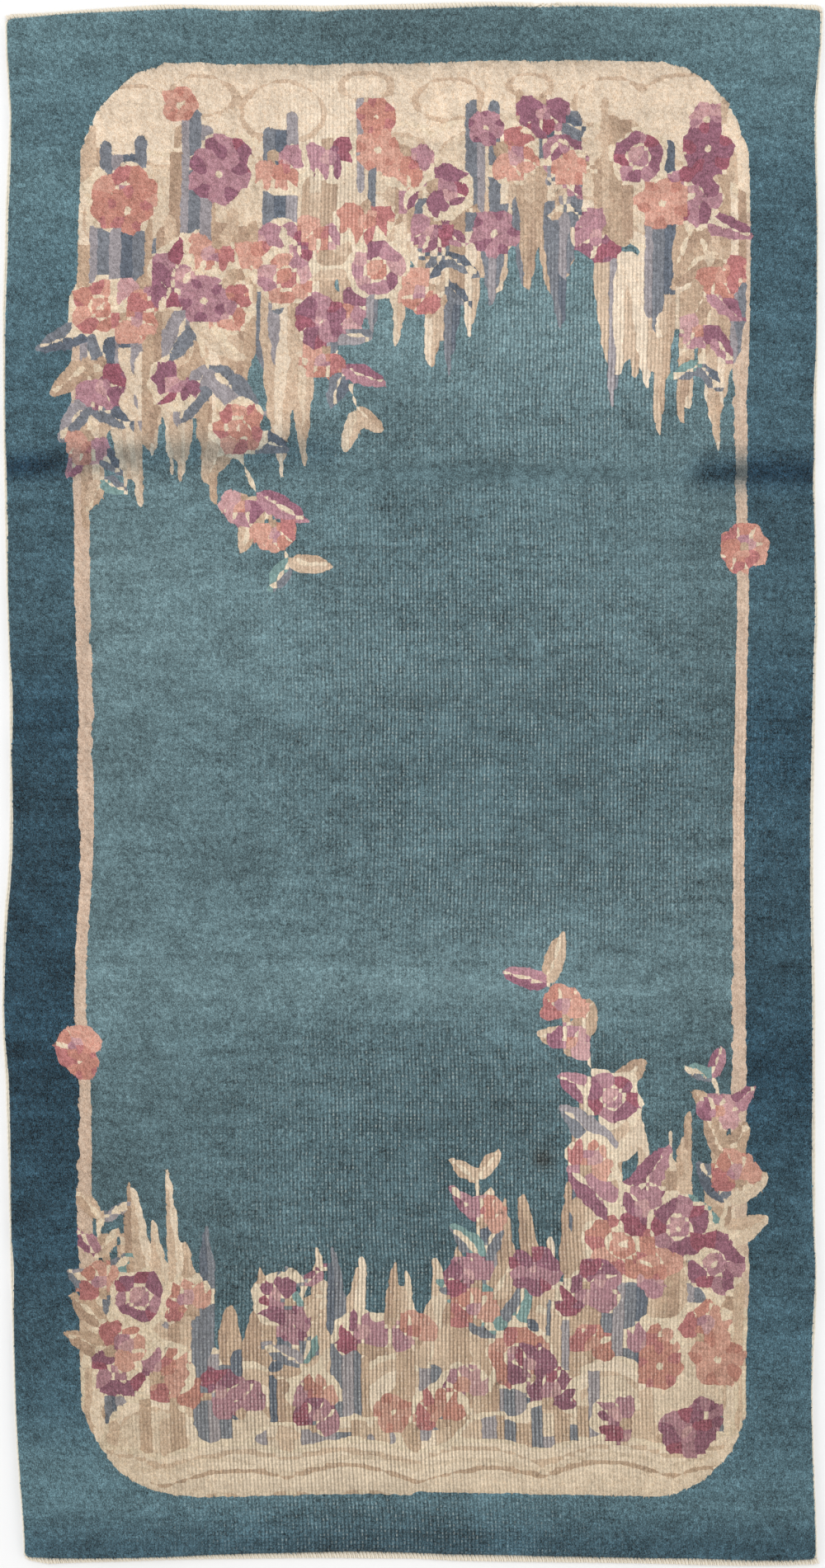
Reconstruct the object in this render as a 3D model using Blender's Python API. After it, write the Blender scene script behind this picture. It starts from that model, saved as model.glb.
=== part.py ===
"""A hand-knotted wool rug lying flat, face up, with overcast sides and ends.

Metres, +Z up. The origin is on the floor under the middle of the rug, +Y runs along the warps to the
top end and +X to the right-hand side. The five solids are the knotted body, the two side selvedges and
the two end bindings.
"""

import math

import bmesh
import bpy
import numpy as np

# Driving sizes
RUG_WIDTH = 0.912  # between the straight lines that the two sides wander about
RUG_LENGTH = 1.760  # between the straight lines that the two ends wander about
FULL_HEIGHT = 0.0105  # foundation and unworn pile together
PILE_RIM_ROUND = 0.0032  # how far the shorn pile rounds over at its rim
PILE_CORNER_ROUND = 0.0060
SELVEDGE_HEIGHT = 0.0050
BINDING_HEIGHT = 0.0042
BINDING_CORNER_ROUND = 0.0060
LEAST_FINISH = 0.0026  # the narrowest a selvedge or a binding gets
SEAT_GAP = 0.0005  # between the body and what is worked along its edges
MM = 0.001

# How many faces each form takes
BODY_COLUMNS = 26
BODY_ROWS = 48  # the selvedges are cut at the same rows
RIM_STEPS = 2
RIBS_PER_END = 104  # one rib for each pair of overcasting stitches

# Each side of the rug: millimetres along it from the middle, how far its outer edge stands out past the
# straight line, and how wide its selvedge or binding shows beside the pile.
LEFT_SIDE = (
    # along, out, finish
    (-876, -17.0, 2.6),
    (-837, -15.0, 2.6),
    (-790, -11.0, 2.6),
    (-743, -8.0, 2.6),
    (-697, -6.0, 2.6),
    (-604, -3.5, 2.6),
    (-553, -2.0, 5.0),
    (-511, -1.0, 2.6),
    (-418, 1.0, 3.5),
    (-344, 3.5, 5.5),
    (-316, 4.0, 3.5),
    (-279, 8.0, 3.5),
    (-232, 7.5, 3.0),
    (-186, 7.0, 4.0),
    (-139, 5.0, 5.0),
    (-93, 0.0, 4.5),
    (-46, -1.0, 5.0),
    (47, -1.0, 2.8),
    (93, -1.0, 5.5),
    (140, 0.0, 3.0),
    (233, 3.0, 2.6),
    (289, 4.0, 4.0),
    (419, 6.5, 3.0),
    (512, 7.0, 3.5),
    (558, 7.0, 4.5),
    (605, 5.0, 4.5),
    (670, 3.5, 4.0),
    (707, 2.0, 5.5),
    (744, 0.0, 2.8),
    (783, -1.0, 3.0),
    (828, 3.5, 3.0),
    (876, 4.0, 2.6),
)
RIGHT_SIDE = (
    # along, out, finish
    (-876, 1.5, 2.6),
    (-837, 0.5, 2.6),
    (-790, -1.5, 3.0),
    (-743, -3.0, 2.6),
    (-697, -4.0, 2.6),
    (-650, -3.0, 3.0),
    (-604, 0.0, 5.0),
    (-576, 1.0, 3.0),
    (-553, 1.0, 2.6),
    (-511, -1.0, 3.0),
    (-418, -1.0, 5.0),
    (-325, -1.0, 4.0),
    (-232, -1.0, 4.5),
    (-186, -2.0, 4.5),
    (-139, -3.0, 4.5),
    (-28, -3.0, 5.0),
    (47, -1.5, 4.5),
    (140, 0.0, 4.0),
    (196, 2.5, 4.5),
    (233, 1.0, 3.5),
    (289, 0.0, 2.6),
    (335, -1.0, 3.5),
    (391, -0.5, 2.6),
    (437, 0.5, 5.0),
    (474, 1.5, 3.5),
    (512, 2.0, 2.6),
    (642, 3.0, 3.0),
    (735, 1.0, 3.5),
    (772, 1.0, 4.0),
    (800, 3.0, 3.5),
    (828, 5.5, 3.0),
    (876, 8.0, 3.5),
)
BOTTOM_END = (
    # along, out, finish
    (-437, -3.0, 5.0),
    (-414, 1.5, 7.5),
    (-372, -0.5, 6.0),
    (-326, -1.5, 5.5),
    (-279, -3.5, 5.0),
    (-232, -4.0, 7.0),
    (-140, -5.0, 8.0),
    (-84, -5.0, 9.5),
    (-46, -4.5, 9.5),
    (0, -4.5, 8.0),
    (46, -2.0, 8.5),
    (93, -1.0, 9.5),
    (140, -0.5, 8.5),
    (232, 0.5, 8.0),
    (279, 1.5, 8.0),
    (325, 3.0, 9.5),
    (372, 3.5, 7.5),
    (418, 3.0, 7.0),
    (454, 2.0, 7.5),
)
TOP_END = (
    # along, out, finish
    (-454, -10.0, 7.5),
    (-423, -9.0, 5.5),
    (-400, -8.0, 3.5),
    (-372, -5.5, 5.0),
    (-326, -2.0, 6.5),
    (-279, 1.0, 7.5),
    (-246, 0.5, 5.5),
    (-223, 0.0, 8.0),
    (-140, 0.0, 7.0),
    (-93, -0.5, 9.0),
    (-74, 0.0, 6.5),
    (0, 2.0, 8.5),
    (46, 3.0, 7.5),
    (93, 3.5, 6.0),
    (140, 3.0, 7.0),
    (186, 3.0, 5.5),
    (279, 2.0, 6.5),
    (326, 1.5, 5.0),
    (372, 1.5, 5.0),
    (400, 1.0, 3.5),
    (428, 1.0, 6.5),
    (454, 0.5, 8.5),
)

# Where feet have worn the pile down, in millimetres from the middle of the rug
WORN_PLACES = (
    # across, along, half width, half length, depth
    (60, 120, 210, 230, 1.6),
    (170, -60, 170, 190, 1.4),
    (30, -450, 200, 210, 2.0),
    (-120, -700, 170, 120, 1.6),
    (180, -690, 160, 110, 1.3),
    (170, 480, 150, 150, 1.2),
    (-90, 650, 60, 160, 0.8),
)
# An old fold that never quite flattened, right across the rug
CREASE_ALONG = 0.350
CREASE_HALF_WIDTH = 0.014
CREASE_DEPTH = 0.0011


def column(table, index):
    """One column of a side's table, in metres."""
    return [row[index] * MM for row in table]


def outer_edge(table, along):
    """How far the side stands out past its straight line, this far along it."""
    return float(np.interp(along, column(table, 0), column(table, 1)))


def finish_width(table, along):
    """How wide the selvedge or binding is, this far along the side."""
    width = float(np.interp(along, column(table, 0), column(table, 2)))
    return max(width, LEAST_FINISH)


def pile_edge(table, along):
    """How far the pile's own edge stands out past the side's straight line."""
    return outer_edge(table, along) - finish_width(table, along)


def plan_point(across, along, edge):
    """The place on the floor of a point of the body: across and along run from 0 to 1."""
    straight_x = (across - 0.5) * RUG_WIDTH
    straight_y = (along - 0.5) * RUG_LENGTH
    left = -RUG_WIDTH / 2 - edge(LEFT_SIDE, straight_y)
    right = RUG_WIDTH / 2 + edge(RIGHT_SIDE, straight_y)
    bottom = -RUG_LENGTH / 2 - edge(BOTTOM_END, straight_x)
    top = RUG_LENGTH / 2 + edge(TOP_END, straight_x)
    return left + (right - left) * across, bottom + (top - bottom) * along


def pile_height(x, y):
    """The height of the pile over the floor, lower where it is worn and in the old fold."""
    height = FULL_HEIGHT
    for across, along, half_width, half_length, depth in WORN_PLACES:
        off_x = (x - across * MM) / (half_width * MM)
        off_y = (y - along * MM) / (half_length * MM)
        height -= depth * MM * math.exp(-off_x * off_x - off_y * off_y)
    off_crease = (y - CREASE_ALONG) / CREASE_HALF_WIDTH
    return height - CREASE_DEPTH * math.exp(-off_crease * off_crease)


def wool(name, colour, roughness):
    """A plain textile finish."""
    material = bpy.data.materials.new(name)
    material.use_nodes = True
    shader = material.node_tree.nodes["Principled BSDF"]
    shader.inputs["Base Color"].default_value = (*colour, 1.0)
    shader.inputs["Roughness"].default_value = roughness
    shader.inputs["Metallic"].default_value = 0.0
    return material


def top_sheet(across_faces, along_faces, cuts=()):
    """A flat grid from 0 to 1 each way, with extra rows cut in, still to be put in place."""
    mesh = bmesh.new()
    bmesh.ops.create_grid(mesh, x_segments=across_faces, y_segments=along_faces, size=0.5)
    bmesh.ops.translate(mesh, verts=mesh.verts, vec=(0.5, 0.5, 0.0))
    for cut in cuts:
        everything = mesh.verts[:] + mesh.edges[:] + mesh.faces[:]
        bmesh.ops.bisect_plane(mesh, geom=everything, plane_co=(0, cut, 0), plane_no=(0, 1, 0))
    return mesh


def close_to_floor(mesh):
    """Walls from the sheet's rim straight down to the floor, and a flat underside."""
    rim = [edge for edge in mesh.edges if edge.is_boundary]
    made = bmesh.ops.extrude_edge_only(mesh, edges=rim)["geom"]
    for vertex in made:
        if isinstance(vertex, bmesh.types.BMVert):
            vertex.co.z = 0.0
    foot = [edge for edge in mesh.edges if edge.is_boundary]
    bmesh.ops.contextual_create(mesh, geom=foot)
    bmesh.ops.recalc_face_normals(mesh, faces=mesh.faces)


def finished(name, mesh, material):
    """The mesh as a named object, shaded smooth but for its real edges."""
    data = bpy.data.meshes.new(name)
    mesh.to_mesh(data)
    mesh.free()
    data.shade_smooth()
    data.set_sharp_from_angle(angle=math.radians(40))
    data.materials.append(material)
    thing = bpy.data.objects.new(name, data)
    bpy.context.scene.collection.objects.link(thing)
    return thing


def round_rim(mesh):
    """Rounds the body's four corners in plan, then the shorn edge of its pile."""
    walls = [edge for edge in mesh.edges if abs(edge.verts[0].co.z - edge.verts[1].co.z) > 0.005]
    corners = [edge for edge in walls if edge.calc_face_angle(0.0) > math.radians(60)]
    bmesh.ops.bevel(
        mesh, geom=corners, affect="EDGES", offset=PILE_CORNER_ROUND, segments=3, profile=0.5, material=-1
    )
    rim = [
        edge
        for edge in mesh.edges
        if min(vertex.co.z for vertex in edge.verts) > FULL_HEIGHT / 2
        and edge.calc_face_angle(0.0) > math.radians(60)
    ]
    bmesh.ops.bevel(
        mesh, geom=rim, affect="EDGES", offset=PILE_RIM_ROUND, segments=RIM_STEPS, profile=0.5, material=-1
    )


def make_body(material):
    """The knotted body: one slab with the rug's real outline, its worn hollows and its old fold."""
    crease_at = 0.5 + CREASE_ALONG / RUG_LENGTH
    step = CREASE_HALF_WIDTH / RUG_LENGTH
    mesh = top_sheet(BODY_COLUMNS, BODY_ROWS, [crease_at + k * step for k in (-1.8, -0.8, 0.0, 0.8, 1.8)])
    for vertex in mesh.verts:
        x, y = plan_point(vertex.co.x, vertex.co.y, pile_edge)
        vertex.co = (x, y, pile_height(x, y))
    close_to_floor(mesh)
    round_rim(mesh)
    return finished("rug_body", mesh, material)


def selvedge_height(share):
    """The height across a selvedge from the pile, 0, to its outer edge, 1: two cords side by side."""
    cords = abs(math.sin(2 * math.pi * share * 0.92 + 0.12))
    return SELVEDGE_HEIGHT * (0.62 + 0.38 * cords) * (1.0 - 0.18 * share)


def make_selvedge(name, side, material):
    """Two cords bound together along one side of the body. side is -1 on the left and 1 on the right."""
    mesh = top_sheet(6, BODY_ROWS)
    for vertex in mesh.verts:
        share = vertex.co.x if side > 0 else 1.0 - vertex.co.x
        inner, y = plan_point(0.5 + side / 2, vertex.co.y, pile_edge)
        outer, _ = plan_point(0.5 + side / 2, vertex.co.y, outer_edge)
        inner += side * SEAT_GAP
        vertex.co = (inner + (outer - inner) * share, y, selvedge_height(share))
    close_to_floor(mesh)
    return finished(name, mesh, material)


def corner_drop(from_corner):
    """How far the binding's outer edge falls back near a corner of the rug."""
    if from_corner >= BINDING_CORNER_ROUND:
        return 0.0
    off = BINDING_CORNER_ROUND - from_corner
    return BINDING_CORNER_ROUND - math.sqrt(BINDING_CORNER_ROUND**2 - off**2)


def binding_height(share, rib):
    """The height across a binding from the pile, 0, to its outer edge, 1. rib is 1 on a crest."""
    crown = 0.80 + 0.20 * math.sin(math.pi * min(share * 1.7, 1.0)) - 0.38 * share**2
    return BINDING_HEIGHT * crown * (0.74 + 0.26 * rib)


def make_binding(name, table, end, material):
    """The overcast binding along one end, ribbed by its stitches. end is -1 at the bottom, 1 at the top."""
    at_end = 0.5 + end / 2
    left, _ = plan_point(0.0, at_end, outer_edge)
    right, _ = plan_point(1.0, at_end, outer_edge)
    seat = [plan_point(step / BODY_COLUMNS, at_end, pile_edge) for step in range(BODY_COLUMNS + 1)]
    seat_across, seat_along = zip(*seat)
    mesh = top_sheet(2 * RIBS_PER_END, 4)
    for vertex in mesh.verts:
        share = vertex.co.y if end > 0 else 1.0 - vertex.co.y
        station = round(vertex.co.x * 2 * RIBS_PER_END)
        x = left + (right - left) * vertex.co.x
        inner = abs(float(np.interp(x, seat_across, seat_along))) + SEAT_GAP
        outer = RUG_LENGTH / 2 + outer_edge(table, x) - corner_drop(min(x - left, right - x))
        y = end * (inner + (outer - inner) * share)
        vertex.co = (x, y, binding_height(share, station % 2))
    close_to_floor(mesh)
    return finished(name, mesh, material)


def main():
    for old in list(bpy.data.objects):
        bpy.data.objects.remove(old, do_unlink=True)
    pile_wool = wool("pile_wool", (0.098, 0.168, 0.195), 0.92)
    edge_cotton = wool("edge_cotton", (0.78, 0.68, 0.54), 0.85)
    make_body(pile_wool)
    make_selvedge("selvedge_left", -1, edge_cotton)
    make_selvedge("selvedge_right", 1, edge_cotton)
    make_binding("end_binding_bottom", BOTTOM_END, -1, edge_cotton)
    make_binding("end_binding_top", TOP_END, 1, edge_cotton)


main()
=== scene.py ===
import math

import bmesh
import bpy
import numpy as np
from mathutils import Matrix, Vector
from mathutils.bvhtree import BVHTree


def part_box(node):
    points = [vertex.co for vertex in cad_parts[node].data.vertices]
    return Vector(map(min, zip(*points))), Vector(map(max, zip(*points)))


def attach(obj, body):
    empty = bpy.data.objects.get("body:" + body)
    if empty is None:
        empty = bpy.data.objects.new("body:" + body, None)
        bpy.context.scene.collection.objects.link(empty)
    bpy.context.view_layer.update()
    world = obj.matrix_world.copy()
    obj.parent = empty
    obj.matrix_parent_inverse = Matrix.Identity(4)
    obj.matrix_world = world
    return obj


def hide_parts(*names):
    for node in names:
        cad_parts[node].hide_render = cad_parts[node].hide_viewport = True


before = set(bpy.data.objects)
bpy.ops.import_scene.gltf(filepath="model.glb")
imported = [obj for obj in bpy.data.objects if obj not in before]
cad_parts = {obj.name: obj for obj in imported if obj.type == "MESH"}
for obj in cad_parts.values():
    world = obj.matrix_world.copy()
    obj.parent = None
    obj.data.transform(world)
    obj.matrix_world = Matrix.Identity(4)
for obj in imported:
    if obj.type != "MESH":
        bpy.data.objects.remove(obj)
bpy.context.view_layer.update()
print("frame loaded")

scene = bpy.context.scene
mm = 0.001


# small tools for nodes, materials and meshes
def feed(tree, socket, value):
    # a plain value, or the link of a wire, a socket or a node's first output
    if isinstance(value, Wire):
        value = value.socket
    if isinstance(value, bpy.types.Node):
        value = value.outputs[0]
    if isinstance(value, bpy.types.NodeSocket):
        tree.links.new(value, socket)
    else:
        socket.default_value = value


def addNode(tree, kind, settings=None, inputs=None):
    node = tree.nodes.new(kind)
    for name, value in (settings or {}).items():
        setattr(node, name, value)
    for name, value in (inputs or {}).items():
        feed(tree, node.inputs[name], value)
    return node


def operator(name, flipped=False):
    # how a wire takes part in a sum
    def run(self, other=0.0):
        return self.maths(name, other, self) if flipped else self.maths(name, self, other)
    return run


class Wire:
    # a number's socket that takes part in sums
    def __init__(self, tree, socket):
        self.tree, self.socket = tree, socket

    def maths(self, operation, first, second, clamp=False):
        settings = {"operation": operation, "use_clamp": clamp}
        node = addNode(self.tree, "ShaderNodeMath", settings, {0: first, 1: second})
        return Wire(self.tree, node.outputs[0])

    __add__ = __radd__ = operator("ADD")
    __sub__, __rsub__ = operator("SUBTRACT"), operator("SUBTRACT", flipped=True)
    __mul__ = __rmul__ = operator("MULTIPLY")
    __pow__, __gt__ = operator("POWER"), operator("GREATER_THAN")
    part, whole = operator("FRACT"), operator("FLOOR")
    size, sine = operator("ABSOLUTE"), operator("SINE")

    def clipped(self):
        return self.maths("ADD", self, 0.0, clamp=True)


class Finish:
    # a material under construction
    def __init__(self, name, roughness=0.9, sheen=0.0):
        self.material = bpy.data.materials.new(name)
        self.material.use_nodes = True
        self.tree = self.material.node_tree
        self.shader = self.tree.nodes["Principled BSDF"]
        for socket, value in (("Roughness", roughness), ("Specular IOR Level", 0.2),
                              ("Sheen Weight", sheen), ("Sheen Roughness", 0.6)):
            self.shader.inputs[socket].default_value = value

    def node(self, kind, settings=None, inputs=None):
        return addNode(self.tree, kind, settings, inputs)

    def wire(self, socket):
        return Wire(self.tree, socket)

    def attribute(self, name):
        return self.wire(self.node("ShaderNodeAttribute", {"attribute_name": name}).outputs["Fac"])

    def yarnColour(self):
        return self.node("ShaderNodeAttribute", {"attribute_name": "yarnColour"}).outputs["Color"]

    def places(self):
        return self.node("ShaderNodeTexCoord").outputs["Object"]

    def unrolled(self, name):
        # a place on the piece's own map, and its two numbers
        spot = self.node("ShaderNodeUVMap", {"uv_map": name})
        split = self.node("ShaderNodeSeparateXYZ", {}, {0: spot})
        return spot, self.wire(split.outputs[0]), self.wire(split.outputs[1])

    def noise(self, source, scale, detail=2.0, rough=0.5):
        spot = self.node("ShaderNodeMapping", {}, {"Vector": source, "Scale": scale})
        inputs = {"Vector": spot, "Scale": 1.0, "Detail": detail, "Roughness": rough}
        return self.wire(self.node("ShaderNodeTexNoise", {}, inputs).outputs["Fac"])

    def mix(self, share, first, second):
        settings = {"data_type": "RGBA", "clamp_factor": True}
        return self.node("ShaderNodeMix", settings, {0: share, 6: first, 7: second}).outputs[2]

    def shade(self, colour, level):
        # the colour, lighter or darker by a number
        inputs = {0: colour, "Scale": level}
        return self.node("ShaderNodeVectorMath", {"operation": "SCALE"}, inputs)

    def bump(self, height, distance, strength=1.0):
        inputs = {"Height": height, "Distance": distance, "Strength": strength}
        feed(self.tree, self.shader.inputs["Normal"], self.node("ShaderNodeBump", {}, inputs))

    def colour(self, source):
        feed(self.tree, self.shader.inputs["Base Color"], source)


def linear(colour):
    # sRGB from 0 to 255 as the numbers that a shader takes
    value = np.asarray(colour, float) / 255
    return np.where(value <= 0.04045, value / 12.92, ((value + 0.055) / 1.055) ** 2.4)


def readRows(items, name):
    # a mesh's points or its faces' centres, one to a row
    rows = np.zeros(len(items) * 3)
    items.foreach_get(name, rows)
    return rows.reshape(-1, 3)


def addAttribute(data, name, kind, domain, values):
    layer = data.attributes.new(name, kind, domain)
    field = "color" if kind == "FLOAT_COLOR" else "value"
    layer.data.foreach_set(field, np.ascontiguousarray(values, np.float32).ravel())


def newPiece(name, mesh, material):
    data = bpy.data.meshes.new(name)
    mesh.to_mesh(data)
    mesh.free()
    data.materials.append(material)
    piece = bpy.data.objects.new(name, data)
    scene.collection.objects.link(piece)
    return piece


# where the CAD says things are
outline = {
    "readings": 420,  # along each edge
    "inset": 9 * mm,  # the pile's plan corners are rounded, so the lines are read clear of them
    "clear": 12 * mm,
    "height": 4 * mm,
}


def treeOf(node):
    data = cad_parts[node].data
    return BVHTree.FromPolygons([v.co for v in data.vertices], [p.vertices for p in data.polygons])


def wallLine(tree, axis, start, way, low, high, height):
    # how far along the axis a wall stands, looked for from start, at places from low to high
    places = np.linspace(low, high, outline["readings"])
    look = Vector((way, 0, 0) if axis == 0 else (0, way, 0))
    spots = [(start, at, height) if axis == 0 else (at, start, height) for at in places]
    found = [tree.ray_cast(Vector(spot), look)[0] for spot in spots]
    known = [k for k, hit in enumerate(found) if hit is not None]
    return places, np.interp(places, places[known], [found[k][axis] for k in known])


def sideLine(tree, side, low, high, height):
    return wallLine(tree, 0, side * 1.0, -side, low, high, height)


def endLine(tree, end, low, high, height):
    return wallLine(tree, 1, end * 2.0, -end, low, high, height)


bodyTree = treeOf("rug_body")
bodyLow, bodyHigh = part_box("rug_body")
inset, clear, readAt = outline["inset"], outline["clear"], outline["height"]
lowest, highest = bodyLow.y + inset + clear, bodyHigh.y - inset - clear
pileLeft = sideLine(bodyTree, -1, lowest, highest, readAt)
pileRight = sideLine(bodyTree, 1, lowest, highest, readAt)
pileBottom = endLine(bodyTree, -1, pileLeft[1][0] + inset, pileRight[1][0] - inset, readAt)
pileTop = endLine(bodyTree, 1, pileLeft[1][-1] + inset, pileRight[1][-1] - inset, readAt)


def onRug(across, along):
    # shares of the pile's width and length to places on the floor
    y = np.interp(along, (0, 1), (bodyLow.y, bodyHigh.y))
    x = np.interp(across, (0, 1), (bodyLow.x, bodyHigh.x))
    for _ in range(3):
        left, right = np.interp(y, *pileLeft), np.interp(y, *pileRight)
        x = left + (right - left) * across
        bottom, top = np.interp(x, *pileBottom), np.interp(x, *pileTop)
        y = bottom + (top - bottom) * along
    return x, y


def roundCorners(across, along, radius):
    # pulls the square corners of the plan into quarter circles
    width, length = bodyHigh.x - bodyLow.x, bodyHigh.y - bodyLow.y
    u = np.clip(1 - np.minimum(across, 1 - across) * width / radius, 0, 1)
    v = np.clip(1 - np.minimum(along, 1 - along) * length / radius, 0, 1)
    newU, newV = u * np.sqrt(1 - v * v / 2), v * np.sqrt(1 - u * u / 2)
    across = across + np.where(across < 0.5, 1, -1) * (u - newU) * radius / width
    along = along + np.where(along < 0.5, 1, -1) * (v - newV) * radius / length
    return across, along


print("outline read from the CAD")


# the design, drawn knot by knot
rug = {
    "columns": 207,
    "rows": 400,
    "chartWidth": 904.0,  # millimetres
    "chartLength": 1746.0,
    "fullPile": 10.5,
    "shell": 2.6,  # how high the pile starts over the floor
}
garden = {  # millimetres, but shares for the first three
    "flowerSize": 0.76,
    "leafSize": 0.95,
    "fullness": 0.62,  # the smaller, the blunter a petal
    "rimsFrom": 60,  # smaller flowers have no pale rims, which would only be specks
    "rim": 4.6,
    "rimSide": 1.6,
    "halfVein": 2.2,
    "stem": 5.0,
    "insideFrame": 4,  # where streaks and stripes stop
}
yarns = {  # sRGB, as the dyed wool looks today
    "border": (78, 105, 115), "field": (112, 134, 140),
    "cream": (229, 211, 189), "ivory": (219, 200, 177), "sand": (208, 184, 160),
    "tan": (194, 168, 144), "dun": (182, 155, 133), "frameTan": (208, 185, 165),
    "vein": (225, 208, 184),
    "mauve": (182, 138, 147), "pink": (202, 161, 161), "plum": (152, 105, 121),
    "magenta": (160, 98, 111), "coral": (211, 163, 146), "salmon": (198, 142, 127),
    "rose": (186, 124, 122),
    "lilac": (161, 154, 157), "slate": (127, 130, 137), "deepSlate": (104, 111, 122),
    "teal": (128, 157, 154),
}
yarnNames = list(yarns)
knotCount = (rug["columns"], rug["rows"])


def knotPlaces(count, size):
    # millimetres from the rug's middle
    return (np.arange(count) + 0.5) / count * size - size / 2


knotX = knotPlaces(rug["columns"], rug["chartWidth"])
knotY = knotPlaces(rug["rows"], rug["chartLength"])
chart = np.zeros((rug["rows"], rug["columns"]), int)
chartX, chartY = np.meshgrid(knotX, knotY)
everywhere = (slice(None), slice(None))


def near(x, y, reach):
    # the part of the chart round a point, with each knot's place from that point
    columns = slice(*np.searchsorted(knotX, (x - reach, x + reach)))
    rows = slice(*np.searchsorted(knotY, (y - reach, y + reach)))
    across, along = np.meshgrid(knotX[columns] - x, knotY[rows] - y)
    return (rows, columns), across, along


def knot(place, mask, yarn):
    chart[place][mask] = yarnNames.index(yarn)


def petal(x, y, length, width, turn, light, dark, tip=0.75, edge="vein", vein=None):
    # from its foot at x, y, towards turn in degrees: light on one half, dark on the other,
    # with a pale rim at its tip
    place, across, along = near(x, y, length + width)
    c, s = math.cos(math.radians(turn)), math.sin(math.radians(turn))
    u, v = across * c + along * s, -across * s + along * c

    def inside(back, narrow):
        t = (u + back) / length
        bulge = np.sin(np.pi * np.clip(t, 0, 1) ** tip) ** garden["fullness"]
        return (t > 0) & (t < 1) & (np.abs(v) < (width / 2 - narrow) * bulge)

    whole = inside(0, 0)
    if edge:
        knot(place, whole, edge)
        whole = whole & inside(garden["rim"], garden["rimSide"])
    knot(place, whole, light)
    knot(place, whole & (v > width * 0.08 + width * 0.10 * np.sin(u / length * 7)), dark)
    if vein:
        middle = (u > 0.1 * length) & (u < 0.86 * length)
        knot(place, whole & (np.abs(v) < garden["halfVein"]) & middle, vein)


def rimOf(size):
    return "vein" if size > garden["rimsFrom"] else None


def disc(x, y, radius, yarn):
    place, across, along = near(x, y, radius + 5)
    knot(place, np.hypot(across, along) < radius, yarn)


def openBloom(x, y, size, turn, outer, inner):
    # five broad petals, a ring within, and a heart
    for k in (0, 2, 4, 1, 3):
        length = size * (0.54 + 0.04 * math.sin(k * 1.7 + turn))
        way = turn + k * 72 + 8 * math.sin(k * 2.3 + turn)
        petal(x, y, length, size * 0.52, way, *outer[k % 2], tip=1.5, edge=rimOf(size))
    if rimOf(size):
        disc(x, y, size * 0.22, "vein")
    disc(x, y, size * 0.17, inner[1])
    disc(x - 2, y + 2, size * 0.12, inner[0])
    disc(x, y, max(size * 0.06, 3.4), "cream")


def sideBloom(x, y, size, turn, outer, inner):
    # broad petals fanned out of a cup, a pale slit down the middle ones
    for k, lean in enumerate((-78, 78, -40, 40, 0)):
        length = size * (0.62 - 0.0010 * abs(lean))
        petal(x, y, length, size * 0.46, turn + lean, *outer[k % 2],
              tip=1.35, edge=rimOf(size), vein="vein" if k > 1 else None)
    petal(x, y, size * 0.30, size * 0.34, turn, *inner, tip=1.2, edge=None)
    petal(x, y, size * 0.24, size * 0.22, turn + 180, "tan", "dun", tip=0.9, edge=None)


def plumBlossom(x, y, size, turn, colours):
    for k in range(5):
        petal(x, y, size * 0.52, size * 0.48, turn + k * 72, *colours, tip=1.5, edge=None)
    disc(x, y, 4.4, "vein")


def stem(points, width, yarn):
    for (x0, y0), (x1, y1) in zip(points, points[1:]):
        dx, dy = x1 - x0, y1 - y0
        reach = math.hypot(dx, dy) / 2 + width
        place, across, along = near((x0 + x1) / 2, (y0 + y1) / 2, reach)
        across, along = across + dx / 2, along + dy / 2
        t = np.clip((across * dx + along * dy) / (dx * dx + dy * dy), 0, 1)
        knot(place, np.hypot(across - t * dx, along - t * dy) < width / 2, yarn)


def bend(start, middle, end, steps=9):
    t = np.linspace(0, 1, steps + 1)[:, None]
    start, middle, end = np.array(start), np.array(middle), np.array(end)
    return ((1 - t) ** 2 * start + 2 * t * (1 - t) * middle + t * t * end).tolist()


frameLine = {"left": -376, "right": 378, "bottom": -804, "top": 814, "corner": 118, "width": 15.0}
corner = frameLine["corner"]
beyondX = np.maximum(frameLine["left"] + corner - chartX, chartX - frameLine["right"] + corner)
beyondY = np.maximum(frameLine["bottom"] + corner - chartY, chartY - frameLine["top"] + corner)
# millimetres inside the rounded frame, and negative outside it
frameDepth = corner - np.hypot(np.maximum(beyondX, 0), np.maximum(beyondY, 0))
inFrame = frameDepth > garden["insideFrame"]
teeth = np.random.default_rng(3).uniform(-0.5, 0.5, (4, rug["rows"], 1))
leftHalf = chartX < 0
outerLine = frameDepth + 1.2 * np.sin(chartY / 150) + np.where(leftHalf, teeth[0], teeth[1])
innerLine = frameDepth + 1.2 * np.sin(chartY / 170 + 1) + np.where(leftHalf, teeth[2], teeth[3])
knot(everywhere, outerLine > 0, "frameTan")
knot(everywhere, innerLine > frameLine["width"], "field")

thread = np.random.default_rng(7)
weep = np.random.default_rng(21)


def streaks(zone, top, sway, choices, width=2):
    # upright runs of other yarns in strips a few knots wide, under an uneven top;
    # a dash leaves the strip as it is
    choices = choices.split()
    edges = np.cumsum(thread.integers(width, width + 3, rug["columns"]))
    strip = np.searchsorted(edges, np.arange(rug["columns"]), side="right")
    pick = thread.integers(0, len(choices), strip.max() + 1)[strip]
    lift = thread.uniform(-1, 1, strip.max() + 1)[strip]
    for n, yarn in enumerate(choices):
        if yarn != "-":
            knot(everywhere, zone & (chartY < top + sway * lift) & (pick == n) & inFrame, yarn)


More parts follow.
